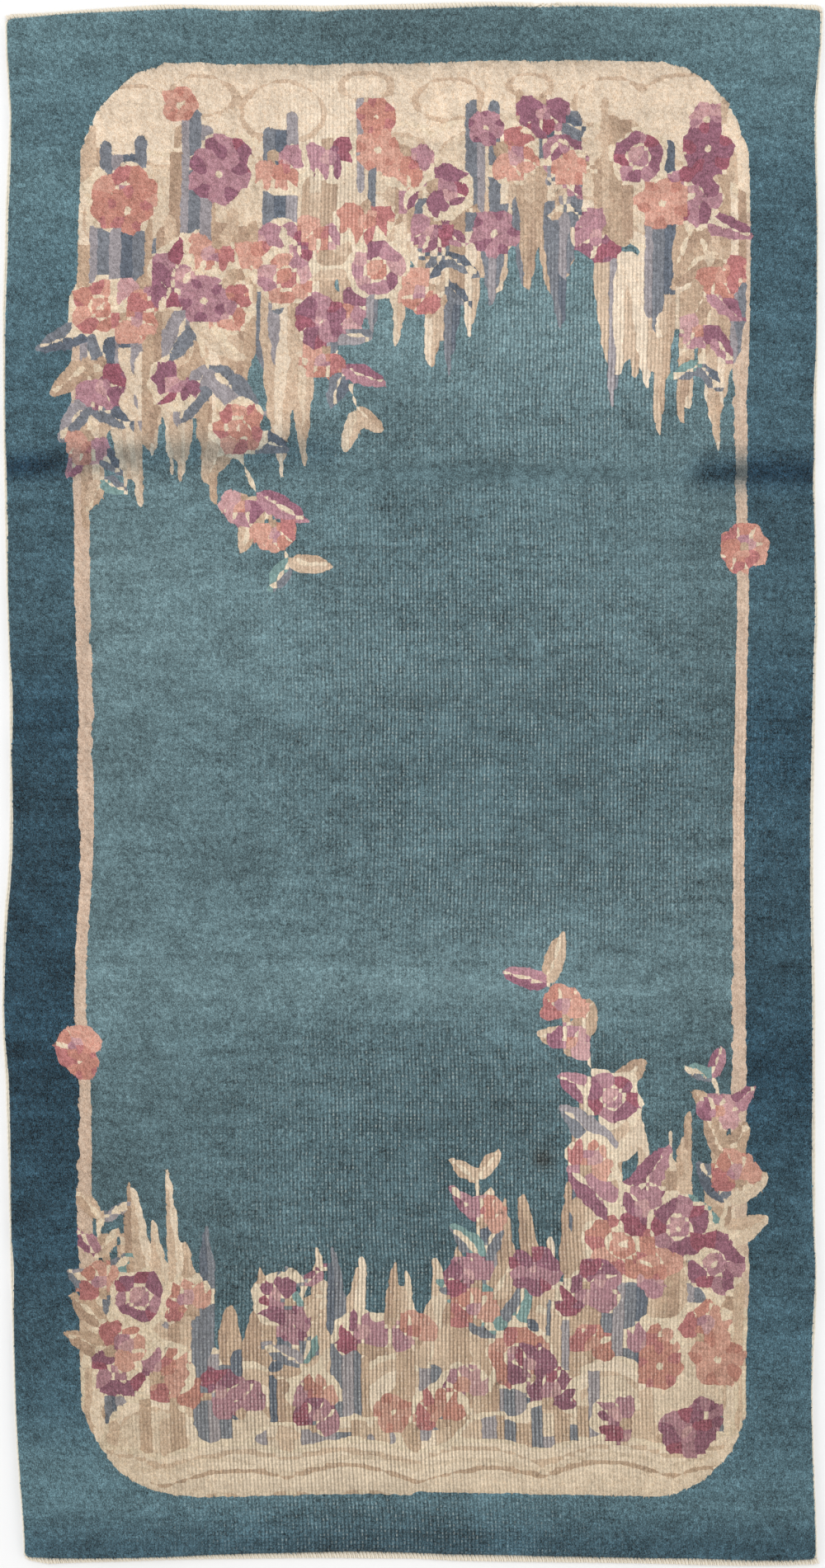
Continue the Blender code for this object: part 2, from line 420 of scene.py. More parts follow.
def bars(groups):
    # upright stripes side by side in like yarns, each ending a little higher or lower
    for x, y0, y1, width, names in groups:
        for k, yarn in enumerate(names.split()):
            left, right = x + k * width, x + (k + 1) * width + weep.uniform(-2, 2)
            low, high = y0 + weep.uniform(-26, 26), y1 + weep.uniform(-20, 20)
            stripe = (chartX > left) & (chartX < right) & (chartY > low) & (chartY < high)
            knot(everywhere, stripe & inFrame, yarn)


def bank(lobes, bands):
    # scalloped masses, banded inwards from their rim
    depth = np.full(chartX.shape, -1e3)
    for x, y, halfWidth, halfHeight in lobes:
        lobe = 1 - np.hypot((chartX - x) / halfWidth, (chartY - y) / halfHeight)
        depth = np.maximum(depth, lobe * min(halfWidth, halfHeight))
    for least, yarn in bands:
        knot(everywhere, (depth > least) & (outerLine > 0), yarn)
    return depth


def pairs(names):
    return [pair.split() for pair in names.split(", ")]


dryBlades = pairs("sand tan, tan dun, ivory sand, cream sand")
blades = dryBlades + pairs("lilac slate, slate deepSlate") + dryBlades


def bladeRows(turn, rows):
    # long narrow leaves side by side
    for x0, x1, level, reach, count in rows:
        for k in range(count):
            x = x0 + (x1 - x0) * (k + 0.5) / count + weep.uniform(-5, 5)
            y = level + weep.uniform(-20, 20)
            pair = blades[weep.integers(0, len(blades))]
            length, width = reach * weep.uniform(0.55, 1.15), weep.uniform(20, 32)
            petal(x, y, length, width, turn + weep.uniform(-6, 6), *pair, tip=0.5, edge=None)


mauves = pairs("mauve plum, plum magenta, pink mauve")
corals = pairs("coral salmon, salmon rose, coral rose")
shades = {  # outer petals of two kinds, then the heart
    "m": mauves, "p": (mauves[2], mauves[0], corals[0]), "d": (mauves[1], mauves[0], mauves[2]),
    "c": (*corals[:2], mauves[2]), "r": (*corals[1:], corals[0]),
    "k": (corals[0], mauves[2], corals[1]),
}
leafPairs = pairs("tan dun, lilac slate, sand tan, slate deepSlate, mauve plum, ivory sand, "
                  "teal slate")


def flower(kind, x, y, size, turn, shade):
    size = size * garden["flowerSize"]
    outer, heart = shades[shade][:2], shades[shade][2]
    if kind == "open":
        openBloom(x, y, size, turn, outer, heart)
    elif kind == "side":
        sideBloom(x, y, size, turn, outer, heart)
    else:
        plumBlossom(x, y, size, turn, outer[0])


def plant(rows):
    for row in rows:
        flower(*row)


def sow(seed, count, zone, apart, heading):
    # flowers strewn over a zone, none nearer to the next than apart
    rng = np.random.default_rng(seed)
    rows, columns = np.nonzero(zone)
    spots = []
    for pick in rng.permutation(len(rows)):
        spot = (knotX[columns[pick]], knotY[rows[pick]])
        if len(spots) < count and all(math.dist(spot, other) > apart for other in spots):
            spots.append(spot)
    for x, y in spots:
        kind = ("side", "side", "side", "open", "plum")[rng.integers(0, 5)]
        shade = "mmmddpcckr"[rng.integers(0, 10)]
        flower(kind, x, y, rng.uniform(66, 92), heading + rng.uniform(-75, 75), shade)


def spray(start, middle, end, leafLength, seed, flowers):
    # a bending stem with pairs of leaves, and flowers set along it
    rng = np.random.default_rng(seed)
    path = bend(start, middle, end)
    stem(path, garden["stem"], "vein")
    for k in range(1, len(path), 2):
        x, y = path[k]
        heading = math.degrees(math.atan2(y - path[k - 1][1], x - path[k - 1][0]))
        grow = garden["leafSize"] * leafLength * (1.15 - 0.5 * k / len(path))
        for side in (-1, 1):
            length = grow * rng.uniform(0.8, 1.15)
            turn = heading + side * rng.uniform(30, 60)
            pair = leafPairs[rng.integers(0, len(leafPairs))]
            petal(x, y, length, grow * 0.42, turn, *pair, tip=0.66, edge=None, vein="vein")
    for share, off, size, kind, turn, shade in flowers:
        k = min(int(share * (len(path) - 1)), len(path) - 2)
        (x, y), (nextX, nextY) = path[k:k + 2]
        dx, dy = nextX - x, nextY - y
        step = math.hypot(dx, dy)
        flower(kind, x - dy / step * off, y + dx / step * off, size, turn, shade)


# the cloud bank along the top
farClouds = (
    # x, y, half width, half height
    (-318, 738, 96, 84), (-236, 776, 92, 54), (-146, 758, 92, 66), (-52, 786, 90, 48),
    (40, 770, 88, 56), (132, 784, 84, 46), (222, 764, 84, 62), (300, 756, 92, 74),
    (350, 690, 44, 60), (-356, 640, 40, 90),
)
nearClouds = (
    (-300, 640, 84, 74), (-214, 672, 76, 62), (-150, 640, 52, 56), (-254, 566, 64, 56),
    (-336, 560, 46, 60), (-88, 670, 58, 62), (-14, 694, 52, 54), (60, 688, 52, 60),
    (134, 706, 46, 46), (206, 690, 52, 50), (270, 664, 54, 66), (326, 624, 46, 76),
)
bladeRows(-90, (
    # from x, to x, foot, reach, how many
    (-366, -226, 510, 190, 14), (-250, -110, 580, 200, 13), (-120, 100, 656, 170, 20),
    (96, 220, 690, 150, 11), (216, 366, 610, 210, 15),
))
cloud = bank(farClouds, ((0, "vein"), (4.4, "ivory"), (12, "cream"), (30, "sand"), (34.5, "cream")))
streaks(cloud > 4, 724, 30, "sand - ivory tan - cream")
cloud = bank(nearClouds, ((0, "vein"), (4.4, "cream"), (13, "sand"), (17, "ivory")))
streaks(cloud > -6, 660, 50, "tan - sand lilac cream slate dun -", 3)
bars((
    # x, bottom, top, width, yarns from left to right
    (-352, 500, 716, 13, "slate lilac deepSlate slate"),
    (-300, 470, 640, 12, "tan dun sand"),
    (-262, 560, 742, 12, "lilac slate lilac"),
    (-216, 480, 620, 11, "sand tan dun tan"),
    (-170, 600, 744, 13, "slate deepSlate lilac"),
    (-126, 560, 690, 11, "tan sand tan"),
    (-64, 640, 756, 12, "lilac slate"),
    (-28, 620, 720, 10, "sand dun tan"),
    (60, 610, 764, 12, "slate lilac slate"),
    (114, 650, 760, 11, "tan sand tan"),
    (166, 640, 744, 12, "lilac slate"),
    (210, 610, 766, 12, "sand tan dun"),
    (258, 540, 724, 12, "lilac slate deepSlate"),
    (312, 480, 690, 11, "tan dun sand tan"),
))

spray((-252, 570), (-222, 420), (-136, 250), 84, 3, (
    # share, off, size, kind, turn, shade
    (0.0, 0, 112, "open", 12, "m"), (0.22, 34, 92, "side", -60, "c"),
    (0.36, -34, 84, "side", -130, "d"), (0.62, 10, 84, "open", 40, "r"),
    (0.8, -18, 64, "side", -120, "p"), (1.0, 0, 66, "side", -80, "c"),
))
spray((-346, 540), (-374, 450), (-346, 344), 66, 5, (
    (0.1, 0, 92, "open", 10, "r"), (0.45, 12, 76, "side", -60, "m"),
    (0.8, -4, 64, "side", -110, "k"),
))
spray((-140, 600), (-92, 530), (-58, 420), 70, 8, (
    (0.05, 0, 96, "open", 30, "d"), (0.45, 22, 76, "side", -50, "p"),
    (0.75, -14, 66, "side", -120, "c"),
))
spray((-8, 706), (34, 640), (40, 560), 58, 11, (
    (0.05, 0, 88, "side", -80, "k"), (0.6, -4, 66, "side", -110, "m"),
))
spray((312, 660), (344, 570), (324, 470), 62, 14, (
    (0.05, 0, 94, "open", 0, "m"), (0.45, 14, 74, "side", -70, "r"),
    (0.8, -8, 58, "side", -120, "p"),
))
spray((146, 762), (178, 710), (170, 650), 48, 17, (
    (0.05, 0, 76, "side", -90, "d"), (0.7, 4, 54, "plum", 15, "c"),
))
plant((
    ("open", -322, 662, 108, 10, "c"), ("open", -214, 700, 96, 40, "d"),
    ("side", -302, 560, 84, -100, "p"), ("side", -176, 612, 92, -60, "k"),
    ("side", -96, 716, 84, -80, "m"), ("plum", -40, 752, 58, 20, "r"),
    ("side", 252, 716, 84, -70, "c"), ("plum", 82, 736, 56, 0, "m"),
    ("plum", -262, 766, 56, 0, "k"), ("plum", 330, 748, 52, 40, "p"),
))

# rocks and standing water along the bottom
rocks = (
    # x, y, half width, half height
    (270, -660, 74, 190), (196, -690, 62, 130), (330, -650, 50, 150), (138, -710, 60, 120),
    (60, -726, 58, 108), (-22, -740, 56, 92), (-104, -734, 56, 104), (-186, -744, 56, 88),
    (-262, -726, 58, 112), (-330, -708, 50, 136),
)
nearRocks = (
    (310, -690, 58, 92), (226, -720, 54, 76), (160, -744, 50, 50), (92, -752, 50, 40),
    (-64, -756, 52, 38), (-146, -758, 50, 34), (-300, -746, 56, 56),
)
bladeRows(90, (
    (166, 366, -560, 190, 17), (30, 160, -660, 180, 11), (-210, 30, -690, 140, 18),
    (-366, -230, -660, 190, 13),
))
rock = bank(rocks, ((0, "vein"), (4.4, "sand"), (13, "cream"), (26, "tan"), (30.5, "ivory")))
streaks(rock > -6, -560, 60, "slate sand - deepSlate tan cream lilac dun - -", 3)
streaks((rock > -6) & (chartX > 150), -520, 40, "slate - tan sand -")
bars((
    (176, -700, -540, 12, "tan sand dun"),
    (214, -730, -500, 12, "slate lilac slate deepSlate"),
    (264, -640, -450, 11, "sand tan dun sand"),
    (306, -740, -520, 12, "lilac slate lilac"),
    (340, -700, -480, 11, "tan dun"),
    (104, -740, -600, 12, "slate lilac deepSlate"),
    (56, -730, -640, 11, "tan sand tan"),
    (6, -744, -660, 12, "lilac slate"),
    (-92, -744, -640, 12, "slate lilac slate"),
    (-156, -750, -670, 11, "dun tan"),
    (-232, -744, -650, 12, "lilac slate deepSlate"),
    (-300, -740, -620, 12, "tan sand dun"),
    (-352, -740, -640, 12, "slate lilac"),
))
rock = bank(nearRocks, ((0, "vein"), (4.4, "cream"), (13, "sand"), (17, "ivory")))
streaks(rock > 5, -700, 40, "lilac sand - tan slate -")
waterTop = -758 + 14 * np.abs(np.sin(chartX / 46)) + np.where(chartX > 0, chartX * 0.04, 0)
water = (chartY < waterTop) & (frameDepth > 0)
knot(everywhere, water, "cream")
knot(everywhere, water & (chartY > waterTop - 5), "vein")
for n, yarn in enumerate(("sand", "ivory", "tan")):
    ripple = waterTop - 13 - 10 * n + 3 * np.sin(chartX / (31 + 9 * n) + 2 * n)
    knot(everywhere, water & (np.abs(chartY - ripple) < 2.4) & inFrame, yarn)

spray((236, -520), (246, -380), (156, -226), 84, 31, (
    (0.0, 0, 116, "open", 15, "r"), (0.22, -30, 92, "side", 130, "m"),
    (0.36, 32, 82, "side", 60, "c"), (0.6, -12, 86, "open", 50, "d"),
    (0.82, 14, 64, "side", 60, "p"), (1.0, 0, 70, "side", 100, "c"),
))
spray((338, -540), (374, -430), (340, -330), 66, 33, (
    (0.05, 0, 96, "open", 0, "m"), (0.45, -12, 76, "side", 110, "c"), (0.8, 6, 64, "side", 70, "p"),
))
spray((118, -650), (66, -550), (74, -450), 68, 35, (
    (0.05, 0, 98, "open", 20, "c"), (0.45, 18, 76, "side", 130, "m"),
    (0.8, -8, 62, "side", 60, "k"),
))
spray((-330, -660), (-374, -580), (-350, -490), 60, 37, (
    (0.05, 0, 92, "open", 10, "d"), (0.6, -6, 70, "side", 110, "c"),
))
spray((-112, -700), (-140, -640), (-124, -570), 50, 39, (
    (0.05, 0, 80, "side", 90, "k"), (0.75, 6, 56, "plum", 0, "m"),
))
plant((
    ("open", 300, -500, 96, 20, "d"), ("side", 330, -618, 88, 80, "c"),
    ("side", 196, -590, 96, 100, "m"), ("side", 268, -640, 92, 60, "k"),
    ("side", 156, -694, 84, 70, "d"), ("side", 60, -690, 80, 110, "p"),
    ("plum", -24, -716, 60, 20, "c"), ("side", -196, -706, 76, 100, "m"),
    ("side", -270, -694, 74, 80, "r"), ("plum", 330, -712, 58, 30, "m"),
    ("plum", 228, -726, 54, 50, "p"),
    # and on the frame line
    ("side", 371, 262, 74, 60, "c"), ("side", 371, 262, 60, 240, "r"),
    ("side", -368, -300, 72, 120, "c"), ("plum", -368, -312, 54, 300, "r"),
))

motifs = (chart > 1) & (frameDepth > 30)
sow(61, 9, motifs & (chartY > 520) & (chartY < 730) & (chartX < -90), 58, -90)
sow(62, 11, motifs & (chartY > 540) & (chartY < 740) & (chartX > -60), 54, -90)
sow(63, 9, motifs & (chartY < -500) & (chartY > -735) & (chartX > 130), 58, 90)
sow(64, 11, motifs & (chartY < -570) & (chartY > -740) & (chartX < 110), 54, 90)

print("design drawn")


# how each knot looks today
dyes = {  # deep and faded, sRGB
    "border": ((45, 72, 87), (114, 143, 149)),
    "field": ((76, 98, 104), (116, 141, 146)),
}
# how faded the border is: millimetres up the rug, then its left and its right side
borderFade = (
    (-860, 0.40, 0.37), (-815, 0.76, 0.70), (-765, 0.78, 0.62), (-700, 0.42, 0.54),
    (-600, 0.33, 0.40), (-540, 0.17, 0.41), (-430, 0.11, 0.22), (-320, 0.04, 0.02),
    (-200, 0.08, 0.27), (-30, 0.17, 0.23), (20, 0.17, 0.08), (80, 0.09, 0.13), (190, 0.46, 0.48),
    (300, 0.46, 0.36), (460, 0.49, 0.44), (580, 0.64, 0.40), (690, 0.86, 0.50), (745, 0.74, 0.71),
    (860, 0.93, 0.93),
)
# the field: its left part, its middle and its right part
fieldFade = (
    (-700, 0.10, 0.00, 0.14), (-400, 0.30, 0.00, 0.15), (-290, 0.62, 0.22, 0.24),
    (-232, 0.86, 1.00, 0.74), (-176, 0.76, 0.58, 0.55), (-120, 0.63, 0.35, 0.43),
    (-20, 0.63, 0.17, 0.20), (60, 0.64, 0.23, 0.14), (110, 0.78, 0.42, 0.22),
    (160, 0.90, 0.36, 0.42), (250, 0.93, 0.26, 0.46), (310, 0.72, 0.27, 0.46),
    (400, 0.85, 0.50, 0.50), (500, 1.05, 0.90, 0.85),
)
# painted shade along the folds where the rug once lay doubled
foldShade = (
    # from x, to x, along, half height, depth
    (-470, -392, 364, 15, 0.50), (-392, -80, 369, 19, 0.20), (322, 480, 350, 21, 0.42),
    (330, 480, 346, 7, 0.10),
)
age = {  # places and reaches in millimetres
    "groundVaries": 110,  # over a knot's green, as deep wool varies more than pale
    "motifVaries": 0.3,
    "motifRows": 0.018,
    "foldEnds": 9,
    "foldSlant": 0.02,
    "foldShadeTint": np.array((1.22, 1.0, 0.84)),  # the painted fold shade darkens red more than blue
    "treadDark": 0.17,
    "treadFrom": 790,
    "treadOver": 30,
    "treadHalf": 270,
    "yellowFrom": 300,
    "yellowOver": 500,
    "yellowed": np.array((0.91, 0.90, 0.87)),
    "dulled": 0.07,
    "stain": (148, -425),
    "stainReach": 11,
    "stainTint": np.array((0.6, 0.9, 1.0)),
    "stainDark": 0.35,
}
unevenness = (
    # seed, knots across, knots along, strength
    (1, 26, 2.2, 0.030), (2, 7, 1.3, 0.024), (3, 14, 14, 0.026), (6, 4, 4, 0.022), (4, 1, 1, 0.04),
)


def dyed(name, fades, places):
    # places are millimetres across, one for each column of the fades
    along, *columns = zip(*fades)
    bands = np.column_stack([np.interp(knotY, along, column) for column in columns])
    faded = np.array([np.interp(knotX, places, band) for band in bands])[..., None]
    deep, pale = np.array(dyes[name], float)
    return deep + (pale - deep) * faded


def softNoise(seed, across, along):
    # even noise over the chart that changes over about that many knots each way
    rng = np.random.default_rng(seed)
    grid = rng.normal(0, 1, (int(rug["rows"] / along) + 3, int(rug["columns"] / across) + 3))
    v = np.arange(rug["rows"])[:, None] / along
    u = np.arange(rug["columns"])[None, :] / across
    i, j = v.astype(int), u.astype(int)
    fv, fu = v - i, u - j
    fv, fu = fv * fv * (3 - 2 * fv), fu * fu * (3 - 2 * fu)
    lower = grid[i, j] * (1 - fu) + grid[i, j + 1] * fu
    upper = grid[i + 1, j] * (1 - fu) + grid[i + 1, j + 1] * fu
    return lower * (1 - fv) + upper * fv


knots = np.array([yarns[name] for name in yarnNames], float)[chart]
knots = np.where((chart == 0)[..., None], dyed("border", borderFade, (-400, 400)), knots)
knots = np.where((chart == 1)[..., None], dyed("field", fieldFade, (-290, 0, 290)), knots)
ground = chart < 2
level = sum((strength * softNoise(*grid) for *grid, strength in unevenness), 1)
groundLevel = 1 + (level - 1) * age["groundVaries"] / knots[..., 1]
motifLevel = 1 + (level - 1) * age["motifVaries"] + age["motifRows"] * softNoise(5, 1.2, 6)
level = np.where(ground, groundLevel, motifLevel)
# painted shade along each fold, where the pile is pressed and turned
for x0, x1, along, half, depth in foldShade:
    ends = 1 + np.exp((x0 - chartX) / age["foldEnds"]), 1 + np.exp((chartX - x1) / age["foldEnds"])
    off = chartY - along - age["foldSlant"] * (chartX - x0)
    foldShadeDepth = depth * (1 / ends[0] / ends[1]) * np.exp(-(off / half) ** 2)
    knots = knots * (1 - foldShadeDepth[..., None] * age["foldShadeTint"])
# the middle of both ends is more trodden than the corners
trodden = np.clip((np.abs(chartY) - age["treadFrom"]) / age["treadOver"], 0, 1)
level -= age["treadDark"] * trodden * np.exp(-(chartX / age["treadHalf"]) ** 2)
knots = knots * level[..., None]
# flowers near the bottom have yellowed and greyed
aged = np.clip((-chartY - age["yellowFrom"]) / age["yellowOver"], 0, 1) * ~ground
knots = knots * (1 - aged[..., None] * (1 - age["yellowed"]))
blossomYarns = ("mauve", "pink", "plum", "magenta", "coral", "salmon", "rose")
blossom = np.isin(chart, [yarnNames.index(name) for name in blossomYarns])
knots = knots * (1 - age["dulled"] * (aged * blossom)[..., None])
stainX, stainY = age["stain"]
off = (chartX - stainX) ** 2 + (chartY - stainY) ** 2
stain = np.exp(-off / age["stainReach"] ** 2)[..., None]
knots = knots * (1 - age["stainDark"] * stain * age["stainTint"])
knotColour = linear(np.clip(knots, 0, 255))
print("colours laid out")


# the wool and the yarns
wool = {
    "fibre": (820, 600, 500),  # how fine each of the four noises is
    "tuft": (190, 260, 200),
    "streak": (24, 260, 60),
    "patch": (38, 46, 40),
    "grain": 3.2,  # how much the fibres vary from dark to light
    "onDark": 0.46,
    "lessOnFlowers": 0.5,
    "flecks": 0.30,  # pale fibre ends
    "tufts": 0.8,
    "streaks": 0.42,
    "patches": 0.62,
    "ribShade": 0.78,  # painted shade in the gaps between worn columns of knots
    # painted shade in the gaps between worn rows of knots
    "rowShade": 0.16,
    # worn wool lifted by about what the painted gap shade takes away, which lights the rib tops
    "ribShadeMakeUp": 0.34,
    "dashLight": 0.95,  # the pale foundation that shows at each worn knot, with a painted highlight on its top
    "foundation": (0.70, 0.71, 0.64, 1),
    "backYarn": (0.62, 0.55, 0.43, 1),
}


def woolLevel(finish, spots, ground):
    # fibres, tufts, thin streaks along the rows and soft patches
    fibre = finish.noise(spots, wool["fibre"], 3.0, 0.6)
    tuft = finish.noise(spots, wool["tuft"], 1.0)
    streak = finish.noise(spots, wool["streak"], 2.0, 0.6)
    patch = finish.noise(spots, wool["patch"])
    broad = (streak - 0.5) * wool["streaks"] + (patch - 0.5) * wool["patches"]
    fleck = ((fibre - 0.56) * 9).clipped() * wool["flecks"] - 0.025
    fine = (fibre - 0.5) * wool["grain"] + (tuft - 0.5) * wool["tufts"] + fleck
    return 1 + fine * (0.1 + ground * 0.9) + broad * ground, fibre, tuft


def grainOn(finish, colour):
    # grain shows most on dark wool and least on pale
    green = finish.wire(finish.node("ShaderNodeSeparateColor", {}, {0: colour}).outputs[1])
    return (green + 0.02) ** -0.5 * wool["onDark"]


def knottedWool():
    finish = Finish("knottedWool", roughness=0.95, sheen=0.08)
    chartSpot, column, row = finish.unrolled("knots")
    wear = finish.attribute("wear")
    colour = finish.yarnColour()
    share = 1 - (finish.attribute("area") > 1.5) * wool["lessOnFlowers"]
    total, fibre, tuft = woolLevel(finish, finish.places(), grainOn(finish, colour) * share)
    # worn rows show upright ribs, with painted shade in the gaps and a pale dash with a painted
    # highlight at each knot, in patches
    bared = finish.noise(chartSpot, (0.9, 0.11, 1))
    wear = wear * ((bared - 0.5) * 3.2 + 0.78).clipped()
    drift = (tuft - 0.5) * 0.7
    column, row = column + drift * 0.35, row + drift
    across, middle = column.part(), (row.part() - 0.5).size()
    rib = (((across - 0.48).size() - 0.14) * 3.4).clipped()
    dash = ((0.22 - (across - 0.46).size()) * 7).clipped() * ((0.38 - middle) * 6).clipped()
    rowGap = ((middle - 0.34) * 7).clipped()
    cell = finish.node("ShaderNodeCombineXYZ", {}, {0: column.whole(), 1: row.whole()})
    speckled = finish.node("ShaderNodeTexWhiteNoise", {"noise_dimensions": "2D"}, {"Vector": cell})
    chance = finish.wire(speckled.outputs["Value"])
    bareAndLit = wear * dash * (0.12 + chance * chance * 0.88)
    # painted shade in the gaps between worn columns and rows, made up by lighter rib tops
    shadow = 1 - wear * rib * wool["ribShade"] - wear * rowGap * wool["rowShade"]
    shaded = shadow + wear * wool["ribShadeMakeUp"]
    # each worn knot's top: its yarn lightened as a painted highlight, mixed with the pale
    # foundation
    pale = finish.mix(0.45, finish.shade(colour, 1.7), wool["foundation"])
    finish.colour(finish.mix(bareAndLit * wool["dashLight"], finish.shade(colour, total * shaded), pale))
    finish.bump(fibre * 0.7 + tuft * 0.6 + wear * (1 - rib) * 1.0 + wear * dash * 0.4, 0.0012, 0.7)
    return finish.material


def wovenBack():
    finish = Finish("wovenBack", roughness=0.95)
    column, row = finish.unrolled("knots")[1:]
    warp = (column * math.tau * 2).sine().size()
    weft = (row * math.tau * 0.5).sine().size()
    # painted shade in the grooves between the knot backs
    knotted = finish.shade(finish.yarnColour(), 0.55 + warp * 0.45)
    finish.colour(finish.mix((1 - weft) ** 2 * 0.6, knotted, wool["backYarn"]))
    finish.bump(warp * 0.6 + weft * 0.6, 0.0008, 0.7)
    return finish.material


def creamYarn(name, colour, ply):
    # overcasting yarn: plies that twist round it, with painted shade in the grooves between them
    finish = Finish(name, roughness=0.85, sheen=0.1)
    turned, along = finish.unrolled("yarn")[1:]
    places = finish.places()
    patchy = finish.noise(places, (60, 60, 60))
    hair = finish.noise(places, (900, 900, 900))
    twist = ((turned + along * ply) * math.tau).sine() * 0.5 + 0.5
    # painted shade in the grooves between the plies
    finish.colour(finish.shade(colour, 0.86 + twist * 0.12 + patchy * 0.10 - hair * 0.08))
    finish.bump(twist * 0.6 + hair * 0.4, 0.0003, 0.6)
    return finish.material


# the pile and the back
pile = {
    "easing": 4,  # rounds of easing where colours meet
    "keep": 0.45,
    "ease": 0.55,
    "wobble": 0.45 * mm,
    "rise": 0.30 * mm,
    "corner": 6 * mm,
    "sag": 3.2 * mm,
    "underNap": 0.9 * mm,
    "readIn": 0.4 * mm,
    "wornAt": 1.4 * mm,
    "fold": (0.350, 16 * mm),  # metres up the rug, and its half height
    "keptNap": (-0.225, 0.060),
    "trodden": (-0.790, 0.020),
    "troddenMiddle": (-0.03, 0.24),
}
back = {"columns": 103, "rows": 200, "height": 2.4 * mm}


def hump(value, middle, half):
    return np.exp(-((value - middle) / half) ** 2)


def knotGrid(columns, rows, rimDepths):
    # a grid one wide and one long, with a ring of wall for each depth, closed underneath;
    # a wall's points are marked by their depth until they are put in place
    mesh = bmesh.new()
    bmesh.ops.create_grid(mesh, x_segments=columns, y_segments=rows, size=0.5)
    bmesh.ops.translate(mesh, verts=mesh.verts, vec=(0.5, 0.5, 0.0))
    for depth in rimDepths:
        rim = [edge for edge in mesh.edges if edge.is_boundary]
        made = bmesh.ops.extrude_edge_only(mesh, edges=rim)["geom"]
        for vertex in made:
            if isinstance(vertex, bmesh.types.BMVert):
                vertex.co.z = depth
    bmesh.ops.contextual_create(mesh, geom=[edge for edge in mesh.edges if edge.is_boundary])
    bmesh.ops.recalc_face_normals(mesh, faces=mesh.faces)
    return mesh


def dyeFaces(data):
    # each face's knot on the chart, and its colour kept on the mesh
    centres = readRows(data.polygons, "center")
    column = np.clip((centres[:, 0] * rug["columns"]).astype(int), 0, rug["columns"] - 1)
    row = np.clip((centres[:, 1] * rug["rows"]).astype(int), 0, rug["rows"] - 1)
    colours = np.column_stack((knotColour[row, column], np.ones(len(row))))
    addAttribute(data, "yarnColour", "FLOAT_COLOR", "FACE", colours)
    return row, column


def addKnotMap(data, spots):
    # a map in knots: whole numbers fall between knots
    corners = np.zeros(len(data.loops), int)
    data.loops.foreach_get("vertex_index", corners)
    layer = data.uv_layers.new(name="knots")
    layer.data.foreach_set("uv", (spots[corners][:, :2] * knotCount).astype(np.float32).ravel())


def heightsAt(x, y):
    drop = Vector((0, 0, -1))
    found = [bodyTree.ray_cast(Vector((px, py, 0.1)), drop)[0] for px, py in zip(x, y)]
    return np.array([hit.z if hit is not None else np.nan for hit in found])


def easedGrid():
    # the knot grid's corners, eased where colours meet so that the drawing's steps turn into curves
    place = np.stack(np.meshgrid(np.arange(rug["columns"] + 1.0), np.arange(rug["rows"] + 1.0)), -1)
    padded = np.pad(chart, 1, mode="edge")
    # whether a seam of colour runs from each corner to the next one along and up
    alongRow = (padded[:-1, 1:-1] != padded[1:, 1:-1])
    upColumn = (padded[1:-1, :-1] != padded[1:-1, 1:])
    seams = ((alongRow, np.s_[:, :-1], np.s_[:, 1:]), (upColumn, np.s_[:-1, :], np.s_[1:, :]))
    for _ in range(pile["easing"]):
        total, count = np.zeros_like(place), np.zeros(place.shape[:2])
        for seam, one, two in seams:
            for here, there in ((one, two), (two, one)):
                total[here] += place[there] * seam[..., None]
                count[here] += seam
        inner = np.zeros(count.shape, bool)
        inner[2:-2, 2:-2] = True
        average = total / np.maximum(count, 1)[..., None]
        eased = place * pile["keep"] + average * pile["ease"]
        place = np.where(((count == 2) & inner)[..., None], eased, place)
    return place / knotCount


def makePile():
    mesh = knotGrid(*knotCount, (-1, -2))
    piece = newPiece("rugPile", mesh, knottedWool())
    data = piece.data
    spots = readRows(data.vertices, "co")
    row, column = dyeFaces(data)
    addAttribute(data, "area", "FLOAT", "FACE", np.minimum(chart[row, column], 2))
    corner = np.rint(spots[:, :2] * knotCount).astype(int)
    spots[:, :2] = easedGrid()[corner[:, 1], corner[:, 0]]
    within = (np.abs(spots[:, :2] - 0.5) < 0.4999).all(axis=1) & (spots[:, 2] == 0)
    wobble = np.random.default_rng(12).normal(0, pile["wobble"], (len(spots), 2))
    spots[:, :2] += wobble * within[:, None] / (rug["chartWidth"] * mm, rug["chartLength"] * mm)
    addKnotMap(data, spots)

    rng = np.random.default_rng(11)
    depth = -spots[:, 2].round().astype(int)
    x, y = onRug(*roundCorners(spots[:, 0], spots[:, 1], pile["corner"]))
    onRim = np.minimum(spots[:, :2], 1 - spots[:, :2]).min(axis=1) < 1e-6
    z = heightsAt(x - np.sign(x) * pile["readIn"], y - np.sign(y) * pile["readIn"])
    full, shell = rug["fullPile"] * mm, rug["shell"] * mm
    z = np.where(np.isnan(z), full - pile["sag"], z)
    wear = np.clip((full - z) / pile["wornAt"], 0, 1)
    # a fold presses the pile down without baring the knots, and a band under the middle has kept
    # its nap, while the middle of the bottom border has lost some
    wear = wear * (1 - hump(y, *pile["fold"]))
    wear = wear * (1 - 0.75 * hump(y, *pile["keptNap"]))
    start, over = pile["trodden"]
    trodden = 0.85 * np.clip((start - y) / over, 0, 1) * hump(x, *pile["troddenMiddle"])
    wear = np.where(onRim, 0, np.maximum(wear, trodden))
    rise = rng.normal(0, 1, len(z)) * pile["rise"] - pile["underNap"]
    top = z + rise * (1 - 0.6 * wear) * ~onRim
    z = np.select([depth == 0, depth == 1], [top, shell + (z - shell) * 0.5], shell)
    data.vertices.foreach_set("co", np.column_stack((x, y, z)).ravel())
    addAttribute(data, "wear", "FLOAT", "POINT", wear)
    data.shade_smooth()
    data.update()
    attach(piece, "root")
    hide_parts("rug_body")
    return piece


